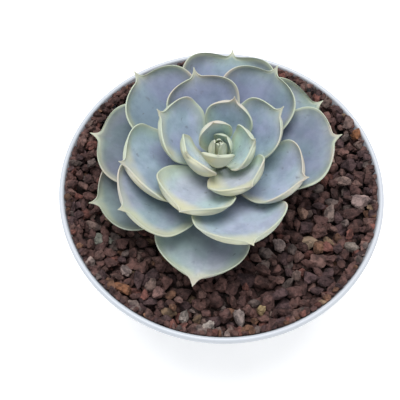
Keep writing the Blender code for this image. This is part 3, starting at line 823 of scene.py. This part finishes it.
def bed_dip(x, y):
    away = math.hypot(x - STEM_LEAN[0], y - STEM_LEAN[1])
    return BED_DIP * math.exp(-(away / BED_DIP_RADIUS) ** 2)


# Stone colours as plain linear RGB, each with its share among the stones and its piece
STONE_TONES = [
    ((0.076, 0.042, 0.039), 28, "dark"),
    ((0.102, 0.056, 0.050), 25, "brown"),
    ((0.068, 0.042, 0.044), 14, "dark"),
    ((0.130, 0.078, 0.069), 12, "brown"),
    ((0.128, 0.056, 0.047), 7, "red"),
    ((0.140, 0.076, 0.050), 4, "red"),
    ((0.110, 0.086, 0.080), 5, "red"),
    ((0.170, 0.122, 0.108), 4, "pale"),
    ((0.220, 0.172, 0.158), 2, "pale"),
    ((0.180, 0.125, 0.082), 1, "pale"),
]

# Very dark: painted shade for the depths seen between the loose stones
BED_SHADE_TONE = (0.03, 0.018, 0.016)

# Stones that stand out: place across and back from the middle, radius and colour
KEY_STONES = [
    ((-44, -21), 3.0, (0.17, 0.18, 0.155)),
    ((51, -5), 2.7, (0.28, 0.21, 0.20)),
    ((39, -12), 2.8, (0.26, 0.20, 0.18)),
    ((31, -11), 2.0, (0.30, 0.19, 0.15)),
    ((33, -19), 2.5, (0.24, 0.18, 0.13)),
    ((-12, -50), 2.4, (0.28, 0.25, 0.23)),
    ((-5, -53), 2.1, (0.30, 0.27, 0.25)),
    ((6, -51), 2.6, (0.24, 0.20, 0.19)),
    ((13, -47), 1.9, (0.26, 0.20, 0.11)),
    ((-21, -43), 2.2, (0.20, 0.12, 0.11)),
    ((-33, -42), 2.6, (0.19, 0.09, 0.05)),
    ((18, -23), 2.2, (0.23, 0.18, 0.17)),
    ((46, 27), 2.5, (0.17, 0.12, 0.11)),
    ((52, 23), 2.3, (0.20, 0.09, 0.045)),
    ((-35, -34), 1.8, (0.24, 0.19, 0.18)),
    ((47, -22), 2.2, (0.21, 0.18, 0.16)),
]


def random_direction(draw):
    return Vector((draw.gauss(0, 1), draw.gauss(0, 1), draw.gauss(0, 1))).normalized()


def random_turn(draw):
    axis = random_direction(draw)
    return np.array(Matrix.Rotation(draw.uniform(0, math.tau), 3, axis))


def stone_shape(draw):
    """Points and triangles of one rough chip, about 1 in radius."""
    shape = bmesh.new()
    stretch = Vector((draw.uniform(0.95, 1.55), draw.uniform(0.8, 1.05), draw.uniform(0.6, 0.9)))
    for _ in range(STONE_CORNERS):
        way = random_direction(draw) * draw.uniform(0.9, 1.25)
        shape.verts.new((way.x * stretch.x, way.y * stretch.y, way.z * stretch.z))
    bmesh.ops.convex_hull(shape, input=shape.verts)
    loose = [vert for vert in shape.verts if not vert.link_faces]
    bmesh.ops.delete(shape, geom=loose, context="VERTS")
    for _ in range(STONE_LEVELS):
        bmesh.ops.subdivide_edges(shape, edges=shape.edges[:], cuts=1, use_grid_fill=True,
                                  smooth=0.18)
        bmesh.ops.triangulate(shape, faces=shape.faces[:])
    seed = Vector((draw.uniform(0, 50), draw.uniform(0, 50), draw.uniform(0, 50)))
    for vert in shape.verts:
        broad = noise.noise(vert.co * 1.9 + seed) * 0.24
        fine = noise.noise(vert.co * 4.7 + seed) * 0.20
        vert.co *= 1 + (broad + fine)
    points = np.array([vert.co[:] for vert in shape.verts])
    points *= 1.0 / np.linalg.norm(points, axis=1).mean()
    shape.verts.index_update()
    faces = np.array([[vert.index for vert in face.verts] for face in shape.faces])
    shape.free()
    return points, faces


def rest_height(centres, radii, x, y, radius):
    """Height at which a round stone comes to rest on the others or on the bed."""
    low = BED_FLOOR + FLOOR_SHARE * radius
    if not len(radii):
        return low
    apart = np.hypot(centres[:, 0] - x, centres[:, 1] - y)
    touch = PACKING * (radii + radius)
    near = apart < touch
    if not near.any():
        return low
    return max(low, (centres[near, 2] + np.sqrt(touch[near] ** 2 - apart[near] ** 2)).max())


def wall_stones(draw):
    """Centres and radii of the stones that lean on the pot's wall, round above round."""
    centres = []
    radii = []
    for depth, size in WALL_ROUNDS:
        height = POT_HEIGHT - depth
        turn = draw.uniform(0, 1)
        last = turn + math.tau
        while turn < last - ROUND_END:
            radius = STONE_RADIUS * size * draw.uniform(0.7, 1.2)
            out = inner_radius(height) - LEAN_SHARE * radius
            turn += PACKING * radius / out
            centres.append((out * math.cos(turn), out * math.sin(turn),
                            height + draw.uniform(-0.4, 0.4)))
            radii.append(radius)
            turn += PACKING * radius / out
    return np.array(centres), np.array(radii)


def drop_stones(draw, leaves):
    """Centres and radii of stones that were dropped one by one into the lowest hollow found."""
    centres, radii = wall_stones(draw)
    smallest, largest = STONE_LIMITS
    misses = 0
    while misses < MOST_MISSES and len(radii) < MOST_STONES:
        size = min(largest, max(smallest, draw.lognormvariate(0.0, STONE_SPREAD)))
        radius = STONE_RADIUS * size
        best = None
        reach = inner_radius(BED_LEVEL) - CLEAR_SHARE * radius
        for _ in range(STONE_TRIES):
            turn = draw.uniform(0, math.tau)
            out = reach * math.sqrt(draw.random())
            x, y = out * math.cos(turn), out * math.sin(turn)
            if math.hypot(x - STEM_LEAN[0], y - STEM_LEAN[1]) < STEM_RADIUS + GAP + radius:
                continue
            z = rest_height(centres, radii, x, y, radius)
            if out > inner_radius(z) - CLEAR_SHARE * radius:
                continue
            over = z + TOP_SHARE * radius - (BED_LEVEL - bed_dip(x, y))
            if best is None or over < best[0]:
                best = (over, x, y, z)
        if best is None or best[0] > OVER_LEVEL:
            misses += 1
            continue
        _, x, y, z = best
        near = leaves.find_nearest(Vector((x, y, z)), LEAF_SHARE * radius + GAP)
        if near[0] is not None:
            misses += LEAF_MISS
            continue
        centres = np.vstack([centres, (x, y, z)])
        radii = np.append(radii, radius)
    return centres, radii


def inside_wall(points):
    """The points, with those that reach into the pot's wall drawn back to it."""
    away = np.hypot(points[:, 0], points[:, 1])
    limit = np.array([inner_radius(min(height, POT_HEIGHT)) for height in points[:, 2]]) - WALL_GAP
    points[:, :2] *= np.minimum(1.0, limit / np.maximum(away, 0.001))[:, None]
    return points


def stone_material():
    shader = Shader("lava_stone")
    tone = shader.colour_attribute("tone")
    fine = shader.noise(1100.0, 4.0, 0.7)
    broad = shader.noise(420.0, 5.0, 0.7)
    shade = shader.mix(shader.band(broad, 0.36, 0.64), (0.50, 0.49, 0.50), (1.55, 1.47, 1.43))
    coloured = shader.mix(1.0, tone, shade, "MULTIPLY")
    coloured = shader.mix(shader.math("MULTIPLY", shader.band(fine, 0.52, 0.75), 0.5), coloured,
                          shader.mix(0.35, coloured, (0.34, 0.27, 0.25)))
    surface = shader.surface
    shader.feed(surface, "Base Color", coloured)
    surface.inputs["Roughness"].default_value = 0.9
    surface.inputs["Specular IOR Level"].default_value = 0.3
    shader.feed(surface, "Normal", shader.bump(fine, 0.9, 0.0006))
    return shader.made


def sort_stones(draw, centres, radii):
    """Centre, size and colour of every stone, listed under the piece that it belongs to."""
    tones = [(tone, piece) for tone, share, piece in STONE_TONES for _ in range(share)]
    keyed = {}
    for place, radius, tone in KEY_STONES:
        away = np.hypot(centres[:, 0] - place[0], centres[:, 1] - place[1])
        keyed[int(np.argmin(away - TOP_PULL * centres[:, 2]))] = (radius, tone)
    groups = {}
    for index, (centre, radius) in enumerate(zip(centres, radii)):
        tone, piece = draw.choice(tones)
        shade = draw.uniform(*STONE_SHADES)
        tone = tuple(part * shade for part in tone)
        size = radius * draw.uniform(*STONE_GROWTH)
        if index in keyed:
            size, tone = keyed[index]
            piece = "pale"
        groups.setdefault(piece, []).append((centre, size, tone))
    return groups


def tone_values(mesh, colours):
    layer = mesh.attributes.new("tone", "FLOAT_COLOR", "POINT")
    layer.data.foreach_set("color", np.asarray(colours, dtype=np.float32).ravel())


def make_stones(skins):
    draw = random.Random(STONE_SEED)
    centres, radii = drop_stones(draw, joined_tree(skins))
    shapes = [stone_shape(draw) for _ in range(STONE_SHAPES)]
    finish = stone_material()
    for group, stones in sorted(sort_stones(draw, centres, radii).items()):
        parts = []
        faces = []
        colours = []
        low = 0
        for centre, size, tone in stones:
            points, corners = draw.choice(shapes)
            parts.append(inside_wall(points @ random_turn(draw).T * size + centre))
            faces.append(corners + low)
            colours.append(np.tile((*tone, 1.0), (len(points), 1)))
            low += len(points)
        name = f"lava_stones_{group}"
        mesh = smooth_mesh(name, np.concatenate(parts), np.concatenate(faces).tolist())
        mesh.set_sharp_from_angle(angle=FACET_ANGLE)
        tone_values(mesh, np.concatenate(colours))
        dress(add_object(name, mesh, finish), "lava_grit", "lava_grit")
    make_bed(finish)


def make_bed(finish):
    """The bed that fills the grit's space under the loose stones, painted very dark as the shade
    between them.
    """
    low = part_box("lava_grit")[0].z / MM
    outline = [(0.0, BED_FLOOR), (inner_radius(BED_FLOOR) - GAP, BED_FLOOR),
               (inner_radius(low) - GAP, low), (0.0, low)]
    mesh = turned_mesh("lava_bed", outline, POT_STEPS // 2)
    bed = add_object("lava_bed", mesh, finish)
    tone_values(mesh, np.tile((*BED_SHADE_TONE, 1.0), (len(mesh.vertices), 1)))
    dress(bed, "lava_grit", "lava_grit")


def make_stem():
    """A short stem, ringed with old leaf scars and green where it is young."""
    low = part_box("stem")[0].z / MM
    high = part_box("stem")[1].z / MM
    outline = [(0.0, high), (STEM_TOP_SHARE * STEM_RADIUS, high)]
    for height in np.linspace(high - 1, low + 1, STEM_RINGS):
        scars = 0.12 * math.sin(height * 3.1) + 0.08 * math.sin(height * 7.3)
        taper = min(1.0, STEM_TOP_SHARE + (high - height) * 0.06)
        outline.append((STEM_RADIUS * taper - 0.2 + scars, height))
    outline += [(0.7 * STEM_RADIUS, low), (0.0, low)]
    shader = Shader("stem_bark")
    fine = shader.noise(350.0, 4.0)
    tone = shader.mix(shader.band(fine, 0.3, 0.7), (0.20, 0.15, 0.08), (0.38, 0.34, 0.20))
    place = shader.node("ShaderNodeTexCoord").outputs["Object"]
    level = shader.node("ShaderNodeSeparateXYZ", {0: place}).outputs["Z"]
    bark_top, green_foot = ((POT_HEIGHT + rise) * MM for rise in YOUNG_STEM)
    young = shader.band(level, bark_top, green_foot)
    tone = shader.mix(young, tone, (0.36, 0.44, 0.36))
    shader.feed(shader.surface, "Base Color", tone)
    shader.surface.inputs["Roughness"].default_value = 0.75
    shader.feed(shader.surface, "Normal", shader.bump(fine, 0.5, 0.0005))
    mesh = turned_mesh("stem_fine", outline, STEM_SIDES)
    mesh.transform(Matrix.Translation((STEM_LEAN[0] * MM, STEM_LEAN[1] * MM, 0.0)))
    stem = add_object("stem_fine", mesh, shader.made)
    return dress(stem, "stem", "stem")


def dress_soil():
    shader = Shader("soil_crumbs")
    fine = shader.noise(420.0, 5.0, 0.7)
    tone = shader.mix(shader.band(fine, 0.35, 0.7), (0.025, 0.016, 0.011), (0.085, 0.055, 0.035))
    shader.feed(shader.surface, "Base Color", tone)
    shader.surface.inputs["Roughness"].default_value = 0.95
    shader.feed(shader.surface, "Normal", shader.bump(fine, 1.0, 0.0015))
    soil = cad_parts["potting_soil"]
    soil.data.materials.clear()
    soil.data.materials.append(shader.made)


def make_camera():
    back = Vector((0.0, -math.cos(VIEW_ELEVATION), math.sin(VIEW_ELEVATION)))
    right = Vector((1.0, 0.0, 0.0))
    up = back.cross(right)
    across = right * math.cos(VIEW_ROLL) + up * math.sin(VIEW_ROLL)
    upward = up * math.cos(VIEW_ROLL) - right * math.sin(VIEW_ROLL)
    place = Vector((0.0, 0.0, POT_HEIGHT)) + back * VIEW_DISTANCE
    place += across * VIEW_OFFSET[0] + upward * VIEW_OFFSET[1]
    lens = bpy.data.cameras.new("camera")
    lens.lens = FOCAL_LENGTH
    lens.sensor_width = 36.0
    lens.clip_start = 0.01
    camera = bpy.data.objects.new("camera", lens)
    turn = Matrix((across, upward, back)).transposed().to_4x4()
    camera.matrix_world = Matrix.Translation(place * MM) @ turn
    bpy.context.scene.collection.objects.link(camera)
    bpy.context.scene.camera = camera


def make_light():
    """Even light from all round, and one large soft lamp above and behind."""
    world = bpy.data.worlds.new("studio")
    world.use_nodes = True
    ground = world.node_tree.nodes["Background"]
    ground.inputs["Color"].default_value = (0.98, 0.99, 1.0, 1.0)
    ground.inputs["Strength"].default_value = SKY_STRENGTH
    bpy.context.scene.world = world
    light = bpy.data.lights.new("window", "AREA")
    light.shape = "DISK"
    light.size = LAMP_SIZE
    light.energy = LAMP_POWER
    lamp = bpy.data.objects.new("window", light)
    lamp.location = LAMP_PLACE
    lamp.rotation_mode = "QUATERNION"
    aim = Vector(LAMP_TARGET) - Vector(LAMP_PLACE)
    lamp.rotation_quaternion = aim.to_track_quat("-Z", "Y")
    bpy.context.scene.collection.objects.link(lamp)
    bpy.context.scene.view_settings.view_transform = "Standard"


def make_floor():
    corners = [(-FLOOR_REACH, -FLOOR_REACH, 0), (FLOOR_REACH, -FLOOR_REACH, 0),
               (FLOOR_REACH, FLOOR_REACH, 0), (-FLOOR_REACH, FLOOR_REACH, 0)]
    mesh = bpy.data.meshes.new("floor")
    mesh.from_pydata(corners, [], [(0, 1, 2, 3)])
    shader = Shader("floor_paper")
    fine = shader.noise(60.0, 2.0)
    tone = shader.mix(shader.band(fine, 0.3, 0.7), (0.92, 0.92, 0.92), (0.94, 0.94, 0.94))
    shader.feed(shader.surface, "Base Color", tone)
    shader.surface.inputs["Roughness"].default_value = 0.8
    shader.surface.inputs["Emission Color"].default_value = (1.0, 1.0, 1.0, 1.0)
    shader.surface.inputs["Emission Strength"].default_value = 0.4
    floor = add_object("floor", mesh, shader.made, "studio")
    floor.location.z = -FLOOR_DROP


make_camera()
make_light()
make_floor()
make_pot()
make_stem()
dress_soil()
make_stones(make_rosette())
